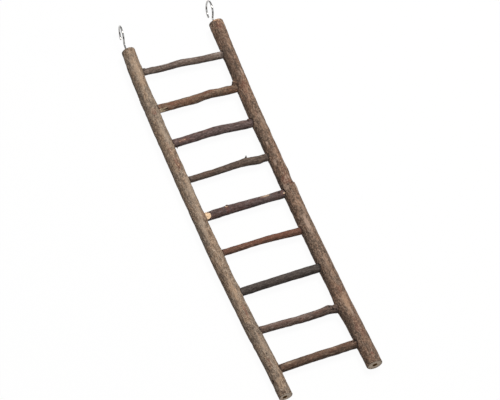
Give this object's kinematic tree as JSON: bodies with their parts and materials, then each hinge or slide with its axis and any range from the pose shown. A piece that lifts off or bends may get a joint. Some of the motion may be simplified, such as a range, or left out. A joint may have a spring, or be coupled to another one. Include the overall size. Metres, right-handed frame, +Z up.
{
  "type": "bird ladder",
  "caption": "Ladder of natural branch wood for a bird cage: branch rungs seated in two branch rails, hung by a screw hook in each rail's head.",
  "frame": {"origin": "on the surface that the ladder lies on, under the middle of its whole length and width, hooks included", "axes": "+X from the left rail to the right rail, +Y from the feet to the hooks, +Z up, out of the ladder's face"},
  "size_m": [0.1274, 0.4851, 0.0227],
  "materials": {
    "rail_left_bark": "dry natural bark, matt",
    "rail_right_bark": "dry natural bark, matt",
    "rung_1_bark": "dry natural bark, matt",
    "rung_2_bark": "dry natural bark, matt",
    "rung_3_bark": "dry natural bark, matt",
    "rung_4_bark": "dry natural bark, matt",
    "rung_5_bark": "dry natural bark, matt",
    "rung_6_bark": "dry natural bark, matt",
    "rung_7_bark": "dry natural bark, matt",
    "rung_8_bark": "dry natural bark, matt",
    "rung_9_bark": "dry natural bark, matt",
    "hook_wire": "bright plated steel wire"
  },
  "bodies": {
    "root": {"rail_left": "rail_left_bark", "rail_right": "rail_right_bark", "rung_1": "rung_1_bark", "rung_2": "rung_2_bark", "rung_3": "rung_3_bark", "rung_4": "rung_4_bark", "rung_5": "rung_5_bark", "rung_6": "rung_6_bark", "rung_7": "rung_7_bark", "rung_8": "rung_8_bark", "rung_9": "rung_9_bark", "hook_left": "hook_wire", "hook_right": "hook_wire"}
  },
  "joints": []
}
